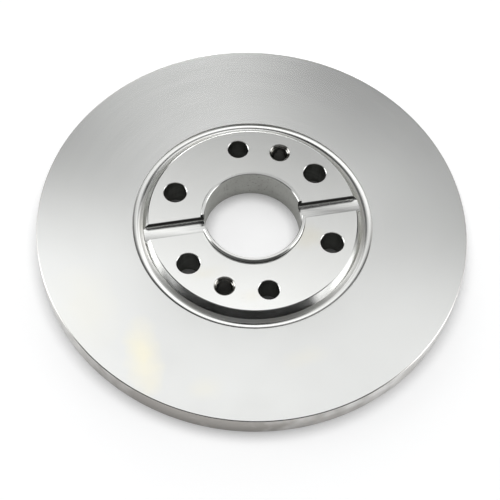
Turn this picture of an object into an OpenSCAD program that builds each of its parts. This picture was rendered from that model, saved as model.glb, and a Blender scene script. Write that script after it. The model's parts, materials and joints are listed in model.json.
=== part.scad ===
// Solid brake disc: a friction ring on a raised mounting hub, with a centring sleeve in the
// hub's bore and two threaded inserts for the puller screws.
// The back face lies on z = 0, the axis of rotation is Z and the drive slots run along X.

/* [Friction ring] */
// Outer diameter of the disc
disc_d = 280; // [240:1:340]
// Thickness between the two braking faces
disc_t = 16; // [12:0.5:22]
// Chamfer on the two edges of the rim
rim_chamfer = 0.5; // [0.2:0.1:1.5]

/* [Mounting hub] */
// Diameter of the raised mounting face
face_d = 136; // [130:1:164]
// Height of the mounting face above the braking face
face_h = 5; // [4:0.5:10]
// Run of the hub's sloping side, from the mounting face out to the relief groove
side_run = 3.5; // [1:0.5:6]
// Chamfer at the mounting face's outer and inner edges
face_chamfer = 0.3; // [0.1:0.1:0.6]
// Width of the relief groove between the sloping side and the friction ring
groove_w = 6.5; // [5:0.5:8]
// Depth of the relief groove's deepest line below the braking face
groove_depth = 1.8; // [1.6:0.1:2.4]
// Run from the foot of the sloping side out to the groove's deepest line
groove_run = 4.3; // [3:0.1:4.6]
// Step from the groove's outer end up to the braking face
groove_step = 1.4; // [0.4:0.1:1.5]

/* [Centring sleeve] */
// Diameter of the centre bore
bore_d = 63; // [50:0.5:72]
// Wall thickness of the centring sleeve
sleeve_wall = 2.25; // [1.5:0.25:3]
// Height of the sleeve's lip above the mounting face
lip_h = 3; // [1:0.5:6]
// Width of the undercut round the sleeve, just below the mounting face
undercut_w = 1; // [0.8:0.1:1.5]
// Depth of the undercut into the sleeve's wall
undercut_depth = 0.45; // [0.4:0.05:0.8]
// Chamfer at the lip's two top edges
lip_chamfer = 0.4; // [0.1:0.1:0.6]
// Chamfer at the back end of the centre bore
bore_chamfer = 1; // [0.4:0.1:1.2]

/* [Drive slots] */
// Width of the slots that cross the hub
slot_w = 11; // [6:0.5:16]
// Height of the slot floor above the braking face
slot_floor_h = 0.5; // [0.2:0.1:1.5]

/* [Holes] */
// Pitch circle diameter of all the holes in the hub
hole_pcd = 108; // [104:1:112]
// Diameter of the bolt holes
bolt_hole_d = 15; // [10:0.5:17]
// Angle between the slots and the nearest bolt holes
bolt_hole_angle = 30; // [26:1:33]
// Diameter of the locating holes
locating_hole_d = 13.5; // [8:0.5:17]
// Chamfer at both ends of the bolt and locating holes
hole_chamfer = 0.3; // [0.1:0.1:1]

/* [Puller threads] */
// Nominal diameter of the puller thread
thread_d = 12; // [8:1:12]
// Pitch of the puller thread
thread_pitch = 1.5; // [1:0.25:1.75]
// Wall of the threaded insert outside the nominal diameter
insert_wall = 1; // [0.8:0.1:1.2]
// Width of the flat ring left around the mouth of the insert
insert_land = 0.35; // [0.2:0.05:0.6]
// Angle between the slots and the puller threads
thread_angle = 60; // [58:1:62]

/* [Fits] */
// Clearance on the radius of the shrunk and pressed seats
seat_clearance = 0; // [0:0.01:0.05]

/* [Hidden] */
$fn = 180;
small_fn = 64;
cut = 1;                                      // how far every cutter runs past the face that it opens

// Heights
face_z = disc_t + face_h;                     // mounting face
lip_z = face_z + lip_h;                       // top of the centring lip
slot_z = disc_t + slot_floor_h;               // floor of the drive slots

// Radii of the hub, from the middle outwards
bore_r = bore_d / 2;
sleeve_r = bore_r + sleeve_wall;
face_r = face_d / 2;
foot_r = face_r + side_run;
seat_r = foot_r + groove_w;
hole_pitch_r = hole_pcd / 2;

// The relief groove falls in an arc from the foot of the hub, rises a little in a flatter arc and
// ends at the seat, below the ring's edge. Each of its points is [radius, depth below the braking face]
groove_steps = 8;
groove_low_r = foot_r + groove_run;
groove_out_run = groove_w - groove_run;
groove_rise = groove_depth - groove_step;
groove_in_tool_r = (pow(groove_run, 2) + pow(groove_depth, 2)) / (2 * groove_depth);
groove_out_tool_r = (pow(groove_out_run, 2) + pow(groove_rise, 2)) / (2 * groove_rise);
groove_in_angle = asin(groove_run / groove_in_tool_r);
groove_out_angle = asin(groove_out_run / groove_out_tool_r);
groove_arc = concat(
    [
        for (step = [0:groove_steps])
            let (angle = groove_in_angle * (step / groove_steps - 1))
            [groove_low_r + groove_in_tool_r * sin(angle), groove_depth - groove_in_tool_r * (1 - cos(angle))]
    ],
    [
        for (step = [1:groove_steps / 2])
            let (angle = groove_out_angle * step / (groove_steps / 2))
            [groove_low_r + groove_out_tool_r * sin(angle), groove_depth - groove_out_tool_r * (1 - cos(angle))]
    ]
);

// The threaded insert: thread bored to the minor diameter, 5 H / 8 below the nominal radius
thread_minor_r = thread_d / 2 - 0.866 * thread_pitch * 5 / 8;
insert_r = thread_d / 2 + insert_wall;
insert_mouth_r = insert_r - insert_land;
insert_chamfer = insert_mouth_r - thread_minor_r;

// Where the holes stand around the axis
bolt_angles = [bolt_hole_angle, 180 - bolt_hole_angle, 180 + bolt_hole_angle, 360 - bolt_hole_angle];
locating_angles = [90, 270];
thread_angles = [thread_angle, thread_angle + 180];

// Puts its children on the pitch circle at an angle from the slots
module on_pitch_circle(angle) {
    rotate(angle) translate([hole_pitch_r, 0, 0]) children();
}

// Cutter for a round hole from the back face to the mounting face, chamfered at both ends
module hole_cutter(radius, chamfer) {
    translate([0, 0, -cut]) cylinder(h = face_z + 2 * cut, r = radius, $fn = small_fn);
    translate([0, 0, -cut]) cylinder(h = chamfer + cut, r1 = radius + chamfer + cut, r2 = radius, $fn = small_fn);
    translate([0, 0, face_z - chamfer])
        cylinder(h = chamfer + cut, r1 = radius, r2 = radius + chamfer + cut, $fn = small_fn);
}

// Cutter for both drive slots: one straight pass across the hub, open at the top and both ends
module slot_cutter() {
    translate([-seat_r - cut, -slot_w / 2, slot_z])
        cube([2 * (seat_r + cut), slot_w, face_h + lip_h + cut]);
}

// The outer ring with the two braking faces and the rim
module friction_ring() {
    inner_r = seat_r + seat_clearance;
    rim_r = disc_d / 2;
    color([0.78, 0.78, 0.77]) rotate_extrude() polygon([
        [inner_r, 0],
        [rim_r - rim_chamfer, 0],
        [rim_r, rim_chamfer],
        [rim_r, disc_t - rim_chamfer],
        [rim_r - rim_chamfer, disc_t],
        [inner_r, disc_t]
    ]);
}

// The disc's centre: raised mounting face, sloping side, relief grooves, drive slots and holes
module mounting_hub() {
    side_slope = side_run / face_h;
    top_groove = [for (step = [len(groove_arc) - 1:-1:0]) [groove_arc[step][0], disc_t - groove_arc[step][1]]];
    color([0.72, 0.72, 0.71]) difference() {
        rotate_extrude() polygon(concat(
            [[sleeve_r + seat_clearance, 0]],
            groove_arc,
            top_groove,
            [
                [face_r + face_chamfer * side_slope, face_z - face_chamfer],
                [face_r - face_chamfer, face_z],
                [sleeve_r + seat_clearance + face_chamfer, face_z],
                [sleeve_r + seat_clearance, face_z - face_chamfer]
            ]
        ));
        slot_cutter();
        for (angle = bolt_angles) on_pitch_circle(angle) hole_cutter(bolt_hole_d / 2, hole_chamfer);
        for (angle = locating_angles) on_pitch_circle(angle) hole_cutter(locating_hole_d / 2, hole_chamfer);
        for (angle = thread_angles) on_pitch_circle(angle)
            translate([0, 0, -cut]) cylinder(h = face_z + 2 * cut, r = insert_r + seat_clearance, $fn = small_fn);
    }
}

// The thin sleeve in the hub's bore, whose lip centres the mating part
module centring_sleeve() {
    color([0.62, 0.62, 0.61]) difference() {
        rotate_extrude() polygon([
            [bore_r + bore_chamfer, 0],
            [sleeve_r, 0],
            [sleeve_r, face_z - undercut_w],
            [sleeve_r - undercut_depth, face_z - undercut_w],
            [sleeve_r - undercut_depth, face_z],
            [sleeve_r, face_z],
            [sleeve_r, lip_z - lip_chamfer],
            [sleeve_r - lip_chamfer, lip_z],
            [bore_r + lip_chamfer, lip_z],
            [bore_r, lip_z - lip_chamfer],
            [bore_r, bore_chamfer]
        ]);
        slot_cutter();
    }
}

// A threaded bush, flush with the mounting face and the back face, countersunk at both ends
module thread_insert(angle) {
    color([0.66, 0.66, 0.67]) on_pitch_circle(angle) rotate_extrude($fn = small_fn) polygon([
        [insert_mouth_r, 0],
        [insert_r, 0],
        [insert_r, face_z],
        [insert_mouth_r, face_z],
        [thread_minor_r, face_z - insert_chamfer],
        [thread_minor_r, insert_chamfer]
    ]);
}

friction_ring();
mounting_hub();
centring_sleeve();
thread_insert(thread_angles[0]);  // thread_insert_1
thread_insert(thread_angles[1]);  // thread_insert_2
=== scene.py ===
import json
import math

import bmesh
import bpy
from mathutils import Matrix, Vector


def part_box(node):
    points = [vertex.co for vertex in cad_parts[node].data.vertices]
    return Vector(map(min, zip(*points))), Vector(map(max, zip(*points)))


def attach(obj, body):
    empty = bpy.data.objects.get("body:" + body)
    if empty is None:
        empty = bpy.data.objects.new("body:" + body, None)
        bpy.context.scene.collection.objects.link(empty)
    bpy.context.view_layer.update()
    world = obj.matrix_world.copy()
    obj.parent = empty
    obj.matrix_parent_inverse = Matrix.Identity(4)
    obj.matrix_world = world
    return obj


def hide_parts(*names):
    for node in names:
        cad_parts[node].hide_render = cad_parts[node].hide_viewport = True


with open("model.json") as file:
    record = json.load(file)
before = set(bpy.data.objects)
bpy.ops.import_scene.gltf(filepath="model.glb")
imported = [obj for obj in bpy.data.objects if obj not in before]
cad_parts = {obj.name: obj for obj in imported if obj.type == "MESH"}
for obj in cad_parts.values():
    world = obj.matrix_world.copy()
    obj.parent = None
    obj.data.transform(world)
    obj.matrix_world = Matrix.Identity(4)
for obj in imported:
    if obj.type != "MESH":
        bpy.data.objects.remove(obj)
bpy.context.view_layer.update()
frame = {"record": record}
print("frame loaded")

mm = 0.001
weldDistance = 0.0001 * mm
nearby = 0.01 * mm
# how far up a face's normal points, as a share: on level faces, on chamfers, on upright walls
exactlyLevel, nearlyLevel, slanted, upright = 0.999, 0.9, 0.3, 0.1

mounts = {mount["name"]: mount for mount in frame["record"]["mounts"]}


def mountSize(name, key):
    return mounts[name]["dims"][key] * mm


# heights and radii that the frame already fixes
ringLow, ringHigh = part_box("friction_ring")
hubLow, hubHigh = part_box("mounting_hub")
sleeveLow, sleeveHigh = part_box("centring_sleeve")
rimRadius = min(ringHigh.x, ringHigh.y, -ringLow.x, -ringLow.y)
brakingHeight = ringHigh.z
seatRadius = hubHigh.x
mountingHeight = hubHigh.z
lipHeight = sleeveHigh.z
boreRadius = mountSize("centre_bore", "r_mm")
lipRadius = mountSize("centring_lip", "r_mm")
slotFloor = mounts["drive_slots"]["pos_m"][2]


def newTree(name, inputs):
    tree = bpy.data.node_groups.new(name, "GeometryNodeTree")
    tree.is_modifier = True
    tree.interface.new_socket(name="Geometry", in_out="INPUT", socket_type="NodeSocketGeometry")
    for label, kind in inputs:
        tree.interface.new_socket(name=label, in_out="INPUT", socket_type="NodeSocket" + kind)
    tree.interface.new_socket(name="Geometry", in_out="OUTPUT", socket_type="NodeSocketGeometry")
    return tree, tree.nodes.new("NodeGroupInput"), tree.nodes.new("NodeGroupOutput")


def scalarMath(tree, operation, first, second=None):
    node = tree.nodes.new("ShaderNodeMath")
    node.operation = operation
    for socket, value in zip(node.inputs, (first, second)):
        if isinstance(value, (int, float)):
            socket.default_value = value
        elif value is not None:
            tree.links.new(value, socket)
    return node.outputs[0]


def makeTurningTree():
    # turns a profile, a row of points with x as radius and z as height, into a closed ring
    tree, given, result = newTree("turnedRing", [("Segments", "Int"), ("Finish", "Material")])
    links = tree.links
    size = tree.nodes.new("GeometryNodeAttributeDomainSize")
    grid = tree.nodes.new("GeometryNodeMeshGrid")
    index = tree.nodes.new("GeometryNodeInputIndex").outputs[0]
    position = tree.nodes.new("GeometryNodeInputPosition")
    sample = tree.nodes.new("GeometryNodeSampleIndex")
    sample.data_type = "FLOAT_VECTOR"
    around = scalarMath(tree, "ADD", given.outputs["Segments"], 1)
    links.new(given.outputs["Geometry"], size.inputs[0])
    links.new(size.outputs["Point Count"], grid.inputs["Vertices X"])
    links.new(around, grid.inputs["Vertices Y"])
    # half a step more keeps the whole number below from falling short
    halfOn = scalarMath(tree, "ADD", index, 0.5)
    alongProfile = scalarMath(tree, "FLOOR", scalarMath(tree, "DIVIDE", halfOn, around))
    stepAround = scalarMath(tree, "SUBTRACT", index, scalarMath(tree, "MULTIPLY", alongProfile, around))
    shareAround = scalarMath(tree, "DIVIDE", stepAround, given.outputs["Segments"])
    angle = scalarMath(tree, "MULTIPLY", shareAround, math.tau)
    links.new(given.outputs["Geometry"], sample.inputs["Geometry"])
    links.new(position.outputs[0], sample.inputs["Value"])
    links.new(alongProfile, sample.inputs["Index"])
    split = tree.nodes.new("ShaderNodeSeparateXYZ")
    links.new(sample.outputs[0], split.inputs[0])
    place = tree.nodes.new("ShaderNodeCombineXYZ")
    for axis, operation in (("X", "COSINE"), ("Y", "SINE")):
        share = scalarMath(tree, operation, angle)
        links.new(scalarMath(tree, "MULTIPLY", split.outputs["X"], share), place.inputs[axis])
    links.new(split.outputs["Z"], place.inputs["Z"])
    move = tree.nodes.new("GeometryNodeSetPosition")
    weld = tree.nodes.new("GeometryNodeMergeByDistance")
    weld.inputs["Distance"].default_value = weldDistance
    realize = tree.nodes.new("GeometryNodeRealizeInstances")
    finish = tree.nodes.new("GeometryNodeSetMaterial")
    links.new(grid.outputs["Mesh"], move.inputs["Geometry"])
    links.new(place.outputs[0], move.inputs["Position"])
    links.new(move.outputs[0], weld.inputs["Geometry"])
    links.new(weld.outputs[0], realize.inputs[0])
    links.new(realize.outputs[0], finish.inputs["Geometry"])
    links.new(given.outputs["Finish"], finish.inputs["Material"])
    links.new(finish.outputs[0], result.inputs["Geometry"])
    return tree


def makeDrillingTree():
    # cuts a copy of the cutter out of the blank at every point of the pattern
    tree, given, result = newTree("cutPattern", [("Pattern", "Object"), ("Cutter", "Object"),
                                                 ("Finish", "Material")])
    links = tree.links
    pattern = tree.nodes.new("GeometryNodeObjectInfo")
    cutter = tree.nodes.new("GeometryNodeObjectInfo")
    copies = tree.nodes.new("GeometryNodeInstanceOnPoints")
    realize = tree.nodes.new("GeometryNodeRealizeInstances")
    cut = tree.nodes.new("GeometryNodeMeshBoolean")
    cut.operation = "DIFFERENCE"
    cut.solver = "EXACT"
    whole = tree.nodes.new("GeometryNodeRealizeInstances")
    finish = tree.nodes.new("GeometryNodeSetMaterial")
    links.new(given.outputs["Pattern"], pattern.inputs["Object"])
    links.new(given.outputs["Cutter"], cutter.inputs["Object"])
    links.new(pattern.outputs["Geometry"], copies.inputs["Points"])
    links.new(cutter.outputs["Geometry"], copies.inputs["Instance"])
    links.new(copies.outputs[0], realize.inputs[0])
    links.new(given.outputs["Geometry"], cut.inputs["Mesh 1"])
    links.new(realize.outputs[0], cut.inputs["Mesh 2"])
    links.new(cut.outputs["Mesh"], whole.inputs[0])
    links.new(whole.outputs[0], finish.inputs["Geometry"])
    links.new(given.outputs["Finish"], finish.inputs["Material"])
    links.new(finish.outputs[0], result.inputs["Geometry"])
    return tree


def makeHelixTree():
    # sweeps the profile along a helix that winds up the Z axis
    inputs = [("Turns", "Float"), ("Pitch", "Float"), ("Radius", "Float"), ("Steps Per Turn", "Int"),
              ("Finish", "Material")]
    tree, given, result = newTree("helicalCutter", inputs)
    links = tree.links
    profileCurve = tree.nodes.new("GeometryNodeMeshToCurve")
    helix = tree.nodes.new("GeometryNodeCurveSpiral")
    standing = tree.nodes.new("GeometryNodeSetCurveNormal")
    standing.mode = "Z_UP"
    sweep = tree.nodes.new("GeometryNodeCurveToMesh")
    realize = tree.nodes.new("GeometryNodeRealizeInstances")
    finish = tree.nodes.new("GeometryNodeSetMaterial")
    links.new(given.outputs["Steps Per Turn"], helix.inputs["Resolution"])
    links.new(given.outputs["Turns"], helix.inputs["Rotations"])
    links.new(given.outputs["Radius"], helix.inputs["Start Radius"])
    links.new(given.outputs["Radius"], helix.inputs["End Radius"])
    height = scalarMath(tree, "MULTIPLY", given.outputs["Turns"], given.outputs["Pitch"])
    links.new(height, helix.inputs["Height"])
    links.new(given.outputs["Geometry"], profileCurve.inputs[0])
    links.new(helix.outputs[0], standing.inputs[0])
    links.new(standing.outputs[0], sweep.inputs["Curve"])
    links.new(profileCurve.outputs[0], sweep.inputs["Profile Curve"])
    sweep.inputs["Fill Caps"].default_value = True
    links.new(sweep.outputs[0], realize.inputs[0])
    links.new(realize.outputs[0], finish.inputs["Geometry"])
    links.new(given.outputs["Finish"], finish.inputs["Material"])
    links.new(finish.outputs[0], result.inputs["Geometry"])
    return tree


def meshObject(name, points, edges=(), faces=()):
    mesh = bpy.data.meshes.new(name)
    mesh.from_pydata([Vector(point) for point in points], edges, faces)
    made = bpy.data.objects.new(name, mesh)
    bpy.context.scene.collection.objects.link(made)
    return made


def runTree(source, tree, values, name):
    # gives what the tree makes of the source as a plain mesh object, and clears the source away
    modifier = source.modifiers.new(tree.name, "NODES")
    modifier.node_group = tree
    for item in tree.interface.items_tree:
        if item.in_out == "INPUT" and item.name in values:
            modifier[item.identifier] = values[item.name]
    bpy.context.view_layer.update()
    graph = bpy.context.evaluated_depsgraph_get()
    mesh = bpy.data.meshes.new_from_object(source.evaluated_get(graph))
    mesh.name = name
    made = bpy.data.objects.new(name, mesh)
    bpy.context.scene.collection.objects.link(made)
    source.modifiers.clear()
    bpy.data.objects.remove(source)
    return made


def tidyMesh(piece, sharpAngle):
    # outward normals, smooth faces and crisp edges
    shape = bmesh.new()
    shape.from_mesh(piece.data)
    bmesh.ops.remove_doubles(shape, verts=shape.verts, dist=weldDistance)
    bmesh.ops.recalc_face_normals(shape, faces=shape.faces)
    if shape.calc_volume(signed=True) < 0:
        bmesh.ops.reverse_faces(shape, faces=shape.faces)
    for face in shape.faces:
        face.smooth = True
    shape.to_mesh(piece.data)
    shape.free()
    piece.data.set_sharp_from_angle(angle=math.radians(sharpAngle))
    return piece


# edges bent by more than these degrees stay crisp
turnedAngle, cutAngle, threadAngle = 30, 20, 25
# the one centre of what is cut on the disc's axis
middle = [(0, 0, 0)]

turningTree = makeTurningTree()
drillingTree = makeDrillingTree()
helixTree = makeHelixTree()


def turn(name, profile, segments, finish):
    # the profile is a closed outline of (radius, height) points
    points = [(radius, 0, height) for radius, height in profile + profile[:1]]
    edges = [(i, i + 1) for i in range(len(points) - 1)]
    source = meshObject(name + "Profile", points, edges)
    return runTree(source, turningTree, {"Segments": segments, "Finish": finish}, name)


def cutOut(blank, centres, cutter, finish):
    # cuts the cutter out of the blank at every centre
    name = blank.name
    blank.name = name + "Blank"
    pattern = meshObject(name + "Pattern", centres)
    made = runTree(blank, drillingTree, {"Pattern": pattern, "Cutter": cutter, "Finish": finish}, name)
    bpy.data.objects.remove(pattern)
    bpy.data.objects.remove(cutter)
    return made


def roundedCorner(before, corner, after, radius, steps=4):
    # points of a small round between two straight edges, close to an arc
    corner = Vector(corner)
    toBefore, toAfter = Vector(before) - corner, Vector(after) - corner
    start = corner + toBefore.normalized() * min(radius, toBefore.length / 2)
    end = corner + toAfter.normalized() * min(radius, toAfter.length / 2)
    shares = [i / steps for i in range(steps + 1)]
    return [tuple(start * (1 - t) ** 2 + corner * 2 * t * (1 - t) + end * t ** 2) for t in shares]


def roundedOutline(corners):
    # corners are (radius, height, rounding); a rounding of 0 stays sharp
    outline = []
    for i, (x, z, rounding) in enumerate(corners):
        before, after = corners[i - 1][:2], corners[(i + 1) % len(corners)][:2]
        outline += roundedCorner(before, (x, z), after, rounding) if rounding else [(x, z)]
    return outline


def vectorMath(tree, operation, first, second=None):
    node = tree.nodes.new("ShaderNodeVectorMath")
    node.operation = operation
    for socket, value in zip(node.inputs, (first, second)):
        if isinstance(value, tuple):
            socket.default_value = value
        elif value is not None:
            tree.links.new(value, socket)
    return node.outputs["Value" if operation in ("LENGTH", "DOT_PRODUCT") else "Vector"]


def noise(tree, vector, scale, detail, roughness):
    node = tree.nodes.new("ShaderNodeTexNoise")
    node.inputs["Scale"].default_value = scale
    node.inputs["Detail"].default_value = detail
    node.inputs["Roughness"].default_value = roughness
    tree.links.new(vector, node.inputs["Vector"])
    return node.outputs["Fac"]


def remap(tree, value, fromLow, fromHigh, toLow, toHigh):
    node = tree.nodes.new("ShaderNodeMapRange")
    for key, number in zip(("From Min", "From Max", "To Min", "To Max"), (fromLow, fromHigh, toLow, toHigh)):
        node.inputs[key].default_value = number
    tree.links.new(value, node.inputs["Value"])
    return node.outputs["Result"]


def mixColour(tree, share, first, second):
    node = tree.nodes.new("ShaderNodeMix")
    node.data_type = "RGBA"
    tree.links.new(share, node.inputs["Factor"])
    for socket, value in ((node.inputs["A"], first), (node.inputs["B"], second)):
        if isinstance(value, tuple):
            socket.default_value = (*value, 1)
        else:
            tree.links.new(value, socket)
    return node.outputs["Result"]


def stainAndShadeShare(tree, place, ragged, stainAndShade):
    # how much of a patch lies on a point: full in its middle, with a ragged soft edge; the patches are
    # stains, but the rim's patch is painted shade
    x, y, reachX, reachY, strength = stainAndShade
    apart = vectorMath(tree, "SUBTRACT", place, (x * mm, y * mm, 0.0))
    apart = vectorMath(tree, "MULTIPLY", apart, (1 / (reachX * mm), 1 / (reachY * mm), 0.0))
    away = scalarMath(tree, "ADD", vectorMath(tree, "LENGTH", apart), ragged)
    return remap(tree, away, *stainAndShadeFade, 0, strength)


# what every look has unless it says otherwise; spacings, sizes and depths are metres
commonLook = {
    "straight": False, "turnedRadius": 0.1, "fineLength": 0.02, "broadLength": 0.05,
    "cloudSize": 0.03, "filmShare": 0.3, "filmRange": (0.4, 0.75),
    "speckSize": 0.0012, "speckFrom": 0.78, "speckFade": 0.04, "speckStrength": 0.7,
    "stainsAndShade": [], "stainAndShadeGrain": 0.012, "stainAndShadeRagged": 0.7, "stainAndShadeRoughness": 0,
    "roughnessSpread": 0.03, "anisotropic": 0.0, "bumpStrength": 0.3, "bumpDepth": 0.00002,
}
# a noise pattern's values mostly lie between these
noiseRange = (0.3, 0.7)
# where a patch of stain or painted shade begins and where it is full, in shares of its reach
stainAndShadeFade = (1.25, 0.25)


def turnedMetal(name, look):
    # metal cut on a lathe, with fine marks round the axis, or milled, with straight marks along X
    look = {**commonLook, **look}
    material = bpy.data.materials.new(name)
    material.use_nodes = True
    tree = material.node_tree
    shader = tree.nodes["Principled BSDF"]
    coordinates = tree.nodes.new("ShaderNodeTexCoord").outputs["Object"]
    mapping = tree.nodes.new("ShaderNodeMapping")
    tree.links.new(coordinates, mapping.inputs["Vector"])
    place = mapping.outputs["Vector"]
    split = tree.nodes.new("ShaderNodeSeparateXYZ")
    tree.links.new(place, split.inputs[0])
    flat = tree.nodes.new("ShaderNodeCombineXYZ")
    tree.links.new(split.outputs["X"], flat.inputs["X"])
    tree.links.new(split.outputs["Y"], flat.inputs["Y"])
    radius = vectorMath(tree, "LENGTH", flat.outputs[0])
    heading = vectorMath(tree, "NORMALIZE", flat.outputs[0])
    headingParts = tree.nodes.new("ShaderNodeSeparateXYZ")
    tree.links.new(heading, headingParts.inputs[0])
    # a point's place across the marks, and its place along them, so that marks begin and end
    straight = look["straight"]
    across = scalarMath(tree, "ADD", split.outputs["Y"] if straight else radius, split.outputs["Z"])
    ways = split if straight else headingParts
    along = (ways.outputs["X"], ways.outputs["Z" if straight else "Y"])
    alongScale = 1.0 if straight else look["turnedRadius"]

    def marksOf(spacing, length):
        lengthwise = tree.nodes.new("ShaderNodeCombineXYZ")
        tree.links.new(scalarMath(tree, "DIVIDE", across, spacing), lengthwise.inputs["X"])
        for socket, value in zip("YZ", along):
            drift = scalarMath(tree, "MULTIPLY", value, alongScale / length)
            tree.links.new(drift, lengthwise.inputs[socket])
        return noise(tree, lengthwise.outputs[0], 1.0, 2.0, 0.6)

    fineMarks = marksOf(look["fineSpacing"], look["fineLength"])
    broadMarks = marksOf(look["broadSpacing"], look["broadLength"])
    cloud = noise(tree, place, 1 / look["cloudSize"], 4.0, 0.6)
    specks = noise(tree, place, 1 / look["speckSize"], 1.0, 0.5)
    # colour: clean metal, the film in clouds, stains and painted shade where they lie, and a few dark specks
    marksShare = remap(tree, broadMarks, *noiseRange, 0, 1)
    colour = mixColour(tree, marksShare, look["dark"], look["light"])
    filmShare = remap(tree, cloud, *look["filmRange"], 0, look["filmShare"])
    colour = mixColour(tree, filmShare, colour, look["film"])
    stainedAndShaded = None
    if look["stainsAndShade"]:
        grain = noise(tree, place, 1 / look["stainAndShadeGrain"], 2.0, 0.5)
        ragged = remap(tree, grain, 0, 1, -look["stainAndShadeRagged"], look["stainAndShadeRagged"])
        for stainAndShade in look["stainsAndShade"]:
            share = stainAndShadeShare(tree, place, ragged, stainAndShade)
            stainedAndShaded = share if stainedAndShaded is None else scalarMath(tree, "MAXIMUM", stainedAndShaded, share)
        colour = mixColour(tree, stainedAndShaded, colour, look["stainAndShade"])
    speckFrom = look["speckFrom"]
    speckShare = remap(tree, specks, speckFrom, speckFrom + look["speckFade"], 0, look["speckStrength"])
    tree.links.new(mixColour(tree, speckShare, colour, look["speck"]), shader.inputs["Base Color"])
    shader.inputs["Metallic"].default_value = 1.0
    # roughness: the marks, the film, and the stains and painted shade patches vary it
    rough, spread = look["roughness"], look["roughnessSpread"]
    fromMarks = remap(tree, broadMarks, *noiseRange, rough - spread, rough + spread)
    fromCloud = remap(tree, cloud, *noiseRange, -spread, spread)
    roughness = scalarMath(tree, "ADD", fromMarks, fromCloud)
    if look["stainAndShadeRoughness"]:
        added = scalarMath(tree, "MULTIPLY", stainedAndShaded, look["stainAndShadeRoughness"])
        roughness = scalarMath(tree, "ADD", roughness, added)
    tree.links.new(roughness, shader.inputs["Roughness"])
    shader.inputs["Anisotropic"].default_value = look["anisotropic"]
    if look["anisotropic"]:
        # the sheen spreads across the marks
        alongMarks = (1.0, 0.0, 0.0)
        if not straight:
            alongMarks = vectorMath(tree, "CROSS_PRODUCT", (0.0, 0.0, 1.0), heading)
        outward = tree.nodes.new("ShaderNodeNewGeometry").outputs["Normal"]
        tree.links.new(vectorMath(tree, "CROSS_PRODUCT", alongMarks, outward), shader.inputs["Tangent"])
    bump = tree.nodes.new("ShaderNodeBump")
    bump.inputs["Strength"].default_value = look["bumpStrength"]
    bump.inputs["Distance"].default_value = look["bumpDepth"]
    tree.links.new(scalarMath(tree, "ADD", fineMarks, broadMarks), bump.inputs["Height"])
    tree.links.new(bump.outputs["Normal"], shader.inputs["Normal"])
    return material


# colours are (red, green, blue); a patch of stain or painted shade is (x, y, reach along X, reach along Y,
# strength), its place and reach in millimetres
brakingLook = {
    "light": (0.835, 0.843, 0.830), "dark": (0.815, 0.823, 0.810), "film": (0.795, 0.800, 0.785),
    "speck": (0.45, 0.42, 0.38), "stainAndShade": (0.95, 0.91, 0.74),
    "stainsAndShade": [(-83.5, -86, 11, 22, 0.8), (-114, -42, 20, 28, 0.15), (-50, -112, 12, 8, 0.2),
               (13, -101, 14, 7, 0.15)],
    "stainAndShadeGrain": 0.02, "roughness": 0.26, "roughnessSpread": 0.006, "anisotropic": 0.85,
    "fineSpacing": 0.00035, "broadSpacing": 0.002, "cloudSize": 0.03, "speckFrom": 0.8, "bumpStrength": 0.15,
}
mountingLook = {
    "light": (0.862, 0.868, 0.850), "dark": (0.842, 0.848, 0.832), "film": (0.825, 0.828, 0.800),
    "speck": (0.3, 0.28, 0.25), "stainAndShade": (0.84, 0.80, 0.66),
    "stainsAndShade": [(33, -20, 11, 9, 0.4), (-38, -36, 12, 5, 0.25), (-12, -56, 8, 5, 0.2)],
    "stainAndShadeRoughness": 0.02, "roughness": 0.20, "roughnessSpread": 0.008, "anisotropic": 0.4,
    "fineSpacing": 0.0003, "broadSpacing": 0.0015, "speckFrom": 0.76, "speckSize": 0.0009,
    "bumpStrength": 0.15,
}
sideLook = {
    "light": (0.80, 0.805, 0.79), "dark": (0.77, 0.775, 0.76), "film": (0.74, 0.735, 0.70),
    "speck": (0.4, 0.38, 0.35), "roughness": 0.13, "roughnessSpread": 0.015, "anisotropic": 0.3,
    "fineSpacing": 0.0003, "broadSpacing": 0.0012, "speckFrom": 0.8, "bumpStrength": 0.2,
}
grooveLook = dict(sideLook, light=(0.70, 0.705, 0.69), dark=(0.66, 0.665, 0.65), film=(0.65, 0.63, 0.56),
                  filmShare=0.5, speckFrom=0.74, roughness=0.42)
# the rim's patch darkens its near side: painted shade, brownish like the rim's own film
rimLook = {
    "light": (0.89, 0.885, 0.87), "dark": (0.81, 0.805, 0.79), "film": (0.75, 0.71, 0.66),
    "speck": (0.25, 0.22, 0.2), "stainAndShade": (0.39, 0.37, 0.346), "stainsAndShade": [(-66, -124, 125, 85, 1.0)],
    "stainAndShadeRoughness": 0.02, "roughness": 0.34, "roughnessSpread": 0.04, "filmShare": 0.5,
    "fineSpacing": 0.0004, "broadSpacing": 0.0025, "bumpStrength": 0.5,
}
edgeLook = dict(sideLook, light=(0.66, 0.65, 0.63), dark=(0.58, 0.57, 0.55), roughness=0.16)
boreLook = {
    "light": (0.45, 0.452, 0.427), "dark": (0.38, 0.382, 0.36), "film": (0.32, 0.32, 0.30),
    "speck": (0.10, 0.095, 0.085), "roughness": 0.5, "roughnessSpread": 0.05,
    "fineSpacing": 0.0003, "broadSpacing": 0.001, "speckFrom": 0.64, "speckSize": 0.0009, "bumpStrength": 0.6,
}
# darker drilled iron, darkened further as painted shade inside the holes
holeIronAndShadeLook = {
    "light": (0.34, 0.345, 0.325), "dark": (0.20, 0.205, 0.19), "film": (0.15, 0.15, 0.135),
    "speck": (0.03, 0.03, 0.03), "roughness": 0.45, "fineSpacing": 0.0004, "broadSpacing": 0.0012,
    "bumpStrength": 0.8,
}
slotFloorLook = dict(sideLook, light=(0.86, 0.865, 0.85), dark=(0.76, 0.765, 0.75), roughness=0.2,
                     roughnessSpread=0.03, broadSpacing=0.0014, bumpStrength=0.5, straight=True)
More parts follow.
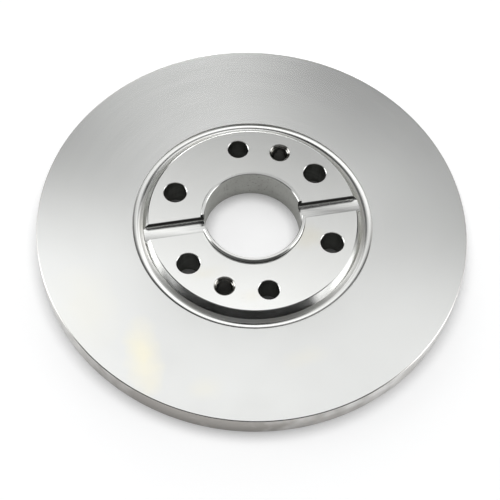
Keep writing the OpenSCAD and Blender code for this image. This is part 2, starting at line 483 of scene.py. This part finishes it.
# near-black slot walls: painted shade
slotWallShadeLook = dict(sideLook, light=(0.15, 0.15, 0.145), dark=(0.1, 0.1, 0.095), film=(0.09, 0.09, 0.085),
                    roughness=0.2, anisotropic=0.0, straight=True)
lipLook = dict(sideLook, roughness=0.12)
# near-black undercut under the lip: painted shade
undercutShadeLook = dict(holeIronAndShadeLook, light=(0.06, 0.06, 0.06), dark=(0.08, 0.085, 0.07), film=(0.06, 0.06, 0.05))
threadLook = dict(sideLook, light=(0.5, 0.495, 0.47), dark=(0.36, 0.355, 0.34), roughness=0.14)

brakingMetal = turnedMetal("brakingFaceMetal", brakingLook)
mountingMetal = turnedMetal("mountingFaceMetal", mountingLook)
sideMetal = turnedMetal("polishedSideMetal", sideLook)
grooveMetal = turnedMetal("grooveMetal", grooveLook)
rimMetal = turnedMetal("rimMetal", rimLook)
edgeMetal = turnedMetal("rimEdgeMetal", edgeLook)
boreMetal = turnedMetal("boreMetal", boreLook)
holeIronAndShadeMetal = turnedMetal("drilledHoleMetal", holeIronAndShadeLook)
slotFloorMetal = turnedMetal("slotFloorMetal", slotFloorLook)
slotWallMetal = turnedMetal("slotWallMetal", slotWallShadeLook)
lipMetal = turnedMetal("lipMetal", lipLook)
undercutMetal = turnedMetal("undercutMetal", undercutShadeLook)
threadMetal = turnedMetal("threadMetal", threadLook)
print("materials made")


def paint(piece, finishes, choose):
    # gives each face the finish whose number choose returns for its centre and normal
    piece.data.materials.clear()
    for finish in finishes:
        piece.data.materials.append(finish)
    for face in piece.data.polygons:
        face.material_index = choose(face.center, face.normal)


ring = {
    "segments": 720,
    "rimChamfer": 0.5 * mm,
    "seamChamfer": 0.15 * mm,
    "edgeRound": 0.12 * mm,
}


def makeFrictionRing():
    chamfer, seam, soft = ring["rimChamfer"], ring["seamChamfer"], ring["edgeRound"]
    profile = roundedOutline([
        (seatRadius, seam, 0), (seatRadius + seam, 0, 0),
        (rimRadius - chamfer, 0, soft), (rimRadius, chamfer, soft),
        (rimRadius, brakingHeight - chamfer, soft), (rimRadius - chamfer, brakingHeight, soft),
        (seatRadius + seam, brakingHeight, 0), (seatRadius, brakingHeight - seam, 0),
    ])
    piece = tidyMesh(turn("frictionRing", profile, ring["segments"], brakingMetal), turnedAngle)

    def finish(centre, normal):
        # 0 braking face, 1 rim, 2 wall at the relief groove, 3 edge of the rim
        if abs(normal.z) > nearlyLevel:
            return 0
        if math.hypot(centre.x, centre.y) < (seatRadius + rimRadius) / 2:
            return 2
        return 3 if abs(normal.z) > slanted else 1

    paint(piece, [brakingMetal, rimMetal, grooveMetal, edgeMetal], finish)
    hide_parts("friction_ring")
    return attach(piece, "root")


hub = {
    "segments": 720,
    "faceRadius": 68 * mm,
    "footRadius": 71.5 * mm,
    "grooveDepth": 1.8 * mm,
    "grooveRun": 4.3 * mm,
    "grooveStep": 1.4 * mm,
    "grooveSteps": 14,
    "scribeWidth": 0.18 * mm,
    "scribeDepth": 0.1 * mm,
    "scribeFall": 0.28 * mm,
    "edgeChamfer": 0.3 * mm,
    "holeChamfer": 0.3 * mm,
    "holeSegments": 96,
    "slotWidth": 11 * mm,
    "slotEdge": 0.25 * mm,
    "slotCorner": 1 * mm,
    "insertRadius": 7 * mm,
}


def grooveArc(steps):
    # the relief groove from the foot of the hub to the seat, as (radius, depth) points: it falls
    # in one arc and rises in a flatter one
    depth, run = hub["grooveDepth"], hub["grooveRun"]
    lowest = hub["footRadius"] + run
    points = []
    for side, reach, rise in ((-1, run, depth), (1, seatRadius - lowest, depth - hub["grooveStep"])):
        tool = (reach ** 2 + rise ** 2) / (2 * rise)
        end = math.asin(reach / tool)
        angles = [end * i / steps for i in range(steps + 1)]
        arc = [(lowest + side * tool * math.sin(a), depth - tool * (1 - math.cos(a))) for a in angles]
        points += arc[:0:-1] if side < 0 else arc
    # a fine scribed line where the sloping side ends
    foot = hub["footRadius"]
    line = [(foot, 0), (foot, hub["scribeDepth"]), (foot + hub["scribeWidth"], hub["scribeFall"])]
    return line + points[1:]


def drill(radius, chamfer):
    over = 1 * mm
    outline = [(0, -over), (radius + chamfer + over, -over), (radius, chamfer),
               (radius, mountingHeight - chamfer), (radius + chamfer + over, mountingHeight + over),
               (0, mountingHeight + over)]
    return tidyMesh(turn("drill", outline, hub["holeSegments"], holeIronAndShadeMetal), turnedAngle)


def plainDrill(radius):
    over = 1 * mm
    outline = [(0, -over), (radius, -over), (radius, mountingHeight + over), (0, mountingHeight + over)]
    return tidyMesh(turn("plainDrill", outline, hub["holeSegments"], holeIronAndShadeMetal), turnedAngle)


def slotBar(edge):
    # one straight bar for both slots, with flared top edges and rounded floor corners
    half, over = hub["slotWidth"] / 2, 3 * mm
    top = lipHeight + over
    outline = roundedOutline([
        (-half, slotFloor, hub["slotCorner"]), (half, slotFloor, hub["slotCorner"]),
        (half, mountingHeight - edge, 0), (half + edge, mountingHeight, 0), (half + edge, top, 0),
        (-half - edge, top, 0), (-half - edge, mountingHeight, 0), (-half, mountingHeight - edge, 0),
    ])
    count, reach = len(outline), seatRadius + over
    points = [(x, y, z) for x in (-reach, reach) for y, z in outline]
    walls = [(i, (i + 1) % count, count + (i + 1) % count, count + i) for i in range(count)]
    caps = [tuple(range(count))[::-1], tuple(range(count, 2 * count))]
    return tidyMesh(meshObject("slotBar", points, [], walls + caps), turnedAngle)


def boltCentres():
    # the four bolt holes, from the frame's own mounts
    x, y = mountSize("bolt_holes", "spacing_x_mm") / 2, mountSize("bolt_holes", "spacing_y_mm") / 2
    return [(x, y, 0), (-x, y, 0), (-x, -y, 0), (x, -y, 0)]


def locatingCentres():
    y = mountSize("locating_holes", "spacing_y_mm") / 2
    return [(0, y, 0), (0, -y, 0)]


def threadCentres():
    return [(*mounts[name]["pos_m"][:2], 0) for name in ("puller_thread_1", "puller_thread_2")]


def insideSlot(centre):
    return abs(centre.y) < hub["slotWidth"] / 2 + nearby and centre.z > slotFloor - nearby


def hubFinish(centre, normal):
    # 0 mounting and back face, 1 polished side, 2 drilled wall, dark iron with painted shade, 3 slot floor, 4
    # groove, 5 slot wall, painted near-black as shade
    radius = math.hypot(centre.x, centre.y)
    holes = [(c, mountSize("bolt_holes", "hole_r_mm")) for c in boltCentres()]
    holes += [(c, mountSize("locating_holes", "hole_r_mm")) for c in locatingCentres()]
    inHole = any(math.hypot(centre.x - c[0], centre.y - c[1]) < r + 2 * nearby for c, r in holes)
    inSlot = insideSlot(centre)
    inSeat = hub["grooveStep"] < centre.z < brakingHeight - hub["grooveStep"]
    if radius > hub["footRadius"] and not inSeat:
        return 4
    if abs(normal.z) > exactlyLevel and not inSlot:
        return 0
    if inHole:
        return 2
    if inSlot and radius < seatRadius:
        return 5 if abs(normal.z) < upright else 3
    return 1


def makeMountingHub():
    edge = hub["edgeChamfer"]
    run = hub["footRadius"] - hub["faceRadius"]
    slope = run / (mountingHeight - brakingHeight)
    groove = grooveArc(hub["grooveSteps"])
    top = [(radius, brakingHeight - depth) for radius, depth in reversed(groove)]
    shoulder = [(hub["faceRadius"] + edge * slope, mountingHeight - edge),
                (hub["faceRadius"] - edge, mountingHeight)]
    inner = [(lipRadius + edge, mountingHeight), (lipRadius, mountingHeight - edge), (lipRadius, 0)]
    outline = groove + top + shoulder + inner
    blank = tidyMesh(turn("mountingHub", outline, hub["segments"], mountingMetal), turnedAngle)
    cuts = [
        (boltCentres(), drill(mountSize("bolt_holes", "hole_r_mm"), hub["holeChamfer"])),
        (locatingCentres(), drill(mountSize("locating_holes", "hole_r_mm"), hub["holeChamfer"])),
        (threadCentres(), plainDrill(hub["insertRadius"])),
        (middle, slotBar(hub["slotEdge"])),
    ]
    piece = blank
    for centres, cutter in cuts:
        piece = cutOut(piece, centres, cutter, mountingMetal)
    tidyMesh(piece, cutAngle)
    paint(piece, [mountingMetal, sideMetal, holeIronAndShadeMetal, slotFloorMetal, grooveMetal, slotWallMetal], hubFinish)
    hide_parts("mounting_hub")
    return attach(piece, "root")


sleeve = {
    "segments": 480,
    "lipChamfer": 0.4 * mm,
    "boreChamfer": 1 * mm,
    "undercutWidth": 1 * mm,
    "undercutDepth": 0.45 * mm,
}


def makeCentringSleeve():
    chamfer, back = sleeve["lipChamfer"], sleeve["boreChamfer"]
    neck = lipRadius - sleeve["undercutDepth"]
    outline = [
        (boreRadius + back, 0), (lipRadius, 0),
        (lipRadius, mountingHeight - sleeve["undercutWidth"]),
        (neck, mountingHeight - sleeve["undercutWidth"]),
        (neck, mountingHeight), (lipRadius, mountingHeight),
        (lipRadius, lipHeight - chamfer), (lipRadius - chamfer, lipHeight),
        (boreRadius + chamfer, lipHeight), (boreRadius, lipHeight - chamfer), (boreRadius, back),
    ]
    blank = tidyMesh(turn("centringSleeve", outline, sleeve["segments"], lipMetal), turnedAngle)
    piece = cutOut(blank, middle, slotBar(0), lipMetal)
    tidyMesh(piece, cutAngle)

    def finish(centre, normal):
        # 0 lip, 1 bore wall, 2 undercut below the mounting face, painted near-black as shade, 3 slot wall,
        # painted near-black as shade, 4 slot floor
        distance = math.hypot(centre.x, centre.y)
        if insideSlot(centre):
            return 3 if abs(normal.z) < upright else 4
        facesAxis = centre.x * normal.x + centre.y * normal.y < -distance / 2
        if facesAxis and abs(normal.z) < slanted:
            return 1
        return 2 if distance > neck - nearby and centre.z < mountingHeight + nearby else 0

    paint(piece, [lipMetal, boreMetal, undercutMetal, slotWallMetal, slotFloorMetal], finish)
    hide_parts("centring_sleeve")
    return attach(piece, "root")


thread = {
    "segments": 96,
    "pitch": 1.5 * mm,
    "majorRadius": 6 * mm,
    "mouthLand": 0.35 * mm,
    "flankAngle": 60,
    "crestShare": 1 / 8,
}


def makeThreadInsert(name, node, centre):
    minor = mountSize("puller_thread_1", "r_mm")
    outer = hub["insertRadius"]
    mouth = outer - thread["mouthLand"]
    chamfer = mouth - minor
    outline = [(mouth, 0), (outer, 0), (outer, mountingHeight), (mouth, mountingHeight),
               (minor, mountingHeight - chamfer), (minor, chamfer)]
    blank = tidyMesh(turn(name, outline, thread["segments"], threadMetal), turnedAngle)
    # the cutter's section is the V of the thread, carried a little past the minor radius
    over = 0.15 * mm
    depth = thread["majorRadius"] - minor
    rise = math.tan(math.radians(thread["flankAngle"] / 2))
    tip = thread["pitch"] * thread["crestShare"] / 2
    wide = tip + (depth + over) * rise
    section = [(-(depth + over) / 2, -wide), ((depth + over) / 2, -tip), ((depth + over) / 2, tip),
               (-(depth + over) / 2, wide)]
    points = [(x, y, 0) for x, y in section]
    edges = [(0, 1), (1, 2), (2, 3), (3, 0)]
    turns = mountingHeight / thread["pitch"] + 1
    sweepRadius = thread["majorRadius"] - (depth - over) / 2 - over
    values = {"Turns": turns, "Pitch": thread["pitch"], "Radius": sweepRadius,
              "Steps Per Turn": thread["segments"], "Finish": threadMetal}
    cutter = runTree(meshObject("threadSection", points, edges), helixTree, values, "threadCutter")
    cutter.data.transform(Matrix.Translation((0, 0, -thread["pitch"] / 2)))
    tidyMesh(cutter, turnedAngle)
    piece = cutOut(blank, middle, cutter, threadMetal)
    tidyMesh(piece, threadAngle)
    piece.data.transform(Matrix.Translation(centre))
    paint(piece, [threadMetal], lambda where, normal: 0)
    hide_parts(node)
    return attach(piece, "root")


makeFrictionRing()
print("friction ring made")
makeMountingHub()
print("mounting hub made")
makeCentringSleeve()
print("centring sleeve made")
for number, centre in enumerate(threadCentres(), 1):
    makeThreadInsert(f"threadInsert{number}", f"thread_insert_{number}", centre)
print("threaded inserts made")


floorLook = {
    "reach": 20.0,
    "paper": (0.74, 0.745, 0.75),
    "glow": 0.615,
    "glowReach": 0.009,
    "holeReach": 0.025,
    "holeOpenness": (0.085, 0.45),
    "roughness": 0.9,
    "rays": 8,
}


def openness(tree, reach):
    node = tree.nodes.new("ShaderNodeAmbientOcclusion")
    node.inputs["Distance"].default_value = reach
    node.samples = floorLook["rays"]
    return node.outputs["AO"]


def makeFloor():
    # pale paper, which keeps the shadows; its glow whitens it where it is seen or mirrored, and fades in
    # corners and is gone at the bottom of a small hole, as painted shade near the disc and in the holes
    far = floorLook["reach"]
    floor = meshObject("floor", [(-far, -far, 0), (far, -far, 0), (far, far, 0), (-far, far, 0)],
                       [], [(0, 1, 2, 3)])
    material = bpy.data.materials.new("floorPaper")
    material.use_nodes = True
    tree = material.node_tree
    shader = tree.nodes["Principled BSDF"]
    shader.inputs["Base Color"].default_value = (*floorLook["paper"], 1)
    shader.inputs["Roughness"].default_value = floorLook["roughness"]
    shader.inputs["Specular IOR Level"].default_value = 0.0
    rays = tree.nodes.new("ShaderNodeLightPath")
    glow = tree.nodes.new("ShaderNodeEmission")
    # the glow's fading paints shade near the disc and at the bottom of the small holes
    outOfHoles = openness(tree, floorLook["holeReach"])
    shaded = remap(tree, outOfHoles, *floorLook["holeOpenness"], 0, floorLook["glow"])
    shaded = scalarMath(tree, "MULTIPLY", openness(tree, floorLook["glowReach"]), shaded)
    seen = scalarMath(tree, "MAXIMUM", rays.outputs["Is Camera Ray"], rays.outputs["Is Glossy Ray"])
    seen = scalarMath(tree, "MAXIMUM", seen, rays.outputs["Is Transmission Ray"])
    tree.links.new(scalarMath(tree, "MULTIPLY", seen, shaded), glow.inputs["Strength"])
    both = tree.nodes.new("ShaderNodeAddShader")
    tree.links.new(shader.outputs[0], both.inputs[0])
    tree.links.new(glow.outputs[0], both.inputs[1])
    tree.links.new(both.outputs[0], tree.nodes["Material Output"].inputs["Surface"])
    floor.data.materials.append(material)


# soft round panels of the studio, each (azimuth, elevation, level); a panel is full within the
# first angle from its middle and has faded away at the second
studio = {
    "panels": {
        "full": 2,
        "faded": 22,
        "places": [
            (0, 0, 1.10), (75, 0, 2.77), (90, 0, 4.76), (150, 0, 3.36), (-30, 0, 1.88),
            (45, 12, 0.85), (75, 12, 1.17), (165, 12, 2.21), (-15, 12, 1.87),
            (90, 26, 1.11), (162, 26, 0.28), (180, 26, 0.03), (-18, 26, 0.13),
            (0, 40, 0.94), (40, 40, 0.15), (140, 40, 1.21),
            (0, 54, 0.44), (129, 54, 0.39),
            (0, 68, 0.03), (36, 68, 0.73), (72, 68, 0.47), (108, 68, 0.87), (144, 68, 0.21),
            (180, 68, 0.19),
        ],
    },
    "fill": {
        "full": 5,
        "faded": 35,
        "places": [(-55, 36, 0.10), (-85, 36, 0.10), (-115, 36, 0.10), (-145, 36, 0.10)],
    },
}


def direction(azimuth, elevation):
    a, e = math.radians(azimuth), math.radians(elevation)
    return (math.cos(a) * math.cos(e), math.sin(a) * math.cos(e), math.sin(e))


def makeWorld():
    world = bpy.data.worlds.new("studio")
    bpy.context.scene.world = world
    world.use_nodes = True
    tree = world.node_tree
    background = tree.nodes["Background"]
    towards = tree.nodes.new("ShaderNodeTexCoord").outputs["Generated"]
    total = None
    for group in studio.values():
        for azimuth, elevation, level in group["places"]:
            along = vectorMath(tree, "DOT_PRODUCT", towards, direction(azimuth, elevation))
            fade = tree.nodes.new("ShaderNodeMapRange")
            fade.interpolation_type = "SMOOTHSTEP"
            fade.inputs["From Min"].default_value = math.cos(math.radians(group["faded"]))
            fade.inputs["From Max"].default_value = math.cos(math.radians(group["full"]))
            fade.inputs["To Max"].default_value = level
            tree.links.new(along, fade.inputs["Value"])
            shown = fade.outputs["Result"]
            total = scalarMath(tree, "ADD", shown, total) if total else shown
    tree.links.new(total, background.inputs["Strength"])
    background.inputs["Color"].default_value = (1, 1, 1, 1)


# where the camera looks, in degrees and metres, with its lens and sensor in millimetres; the aim
# is a point on the braking face
camera = {
    "aim": (-5.75 * mm, -20.96 * mm),
    "distance": 808.5 * mm,
    "azimuth": 75.67,
    "elevation": 59.91,
    "roll": 4.28,
    "lens": 90.55,
    "sensor": 36,
    "nearest": 0.05,
    "farthest": 50,
}


def makeCamera():
    data = bpy.data.cameras.new("camera")
    data.lens = camera["lens"]
    data.sensor_width = camera["sensor"]
    data.clip_start, data.clip_end = camera["nearest"], camera["farthest"]
    made = bpy.data.objects.new("camera", data)
    bpy.context.scene.collection.objects.link(made)
    forward = -Vector(direction(camera["azimuth"] + 180, camera["elevation"]))
    level = forward.cross(Vector((0, 0, 1))).normalized()
    above = level.cross(forward)
    roll = math.radians(camera["roll"])
    right = level * math.cos(roll) + above * math.sin(roll)
    up = right.cross(forward)
    aim = Vector((*camera["aim"], brakingHeight))
    turnMatrix = Matrix((right, up, -forward)).transposed().to_4x4()
    made.matrix_world = Matrix.Translation(aim - forward * camera["distance"]) @ turnMatrix
    bpy.context.scene.camera = made


makeFloor()
makeWorld()
makeCamera()
bpy.context.scene.view_settings.view_transform = "Standard"
print("stage, light and camera made")
